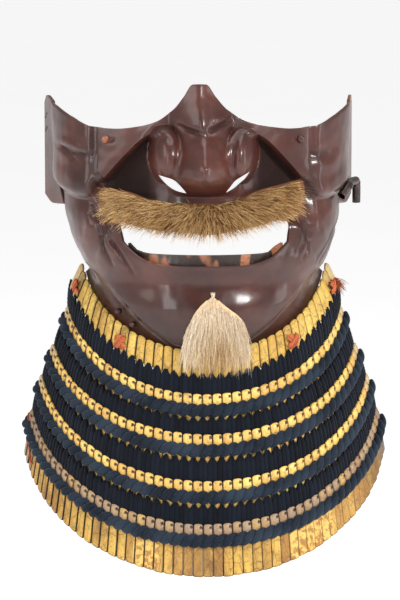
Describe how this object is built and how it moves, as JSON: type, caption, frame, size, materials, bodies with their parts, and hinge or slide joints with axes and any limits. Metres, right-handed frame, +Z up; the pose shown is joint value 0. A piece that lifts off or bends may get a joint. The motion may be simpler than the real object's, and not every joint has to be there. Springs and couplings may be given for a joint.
{
  "type": "samurai face guard",
  "caption": "Armour half mask in russet-lacquered iron with a lift-off nose, moustache and chin tuft, and a throat guard of laced rows of gilt scales.",
  "frame": {"origin": "inside the chin cup, where the wearer's chin sits", "axes": "+Z up, -Y out of the face towards the viewer, +X to the viewer's right"},
  "size_m": [0.1932, 0.1231, 0.2471],
  "materials": {
    "russet_lacquer": "semi-gloss russet lacquer with fine cracks",
    "gold_lacquer": "worn gilt lacquer",
    "indigo_silk": "braided silk",
    "orange_silk": "faded braided silk",
    "hair_tan": "coarse animal hair",
    "hair_cream": "soft animal hair",
    "dark_iron": "dark lacquered iron",
    "tooth_lacquer": "black lacquer worn to brown",
    "stud_copper": "worn copper-coloured metal"
  },
  "bodies": {
    "root": {"mask_plate": "russet_lacquer", "nose_plate": "russet_lacquer", "nose_stud_left": "stud_copper", "nose_stud_right": "russet_lacquer", "teeth_row": "tooth_lacquer", "moustache": "hair_tan", "chin_tuft": "hair_cream", "cord_hook": "dark_iron", "jaw_peg_outer": "russet_lacquer", "jaw_peg_inner": "russet_lacquer", "lame_1": "gold_lacquer", "lame_2": "gold_lacquer", "lame_3": "gold_lacquer", "lame_4": "gold_lacquer", "lame_5": "gold_lacquer", "laces_1": "indigo_silk", "laces_2": "indigo_silk", "laces_3": "indigo_silk", "laces_4": "indigo_silk", "rope_2": "indigo_silk", "rope_3": "indigo_silk", "rope_4": "indigo_silk", "rope_5": "indigo_silk", "knot_1": "orange_silk", "knot_2": "orange_silk", "knot_3": "orange_silk", "knot_4": "orange_silk"}
  },
  "joints": []
}
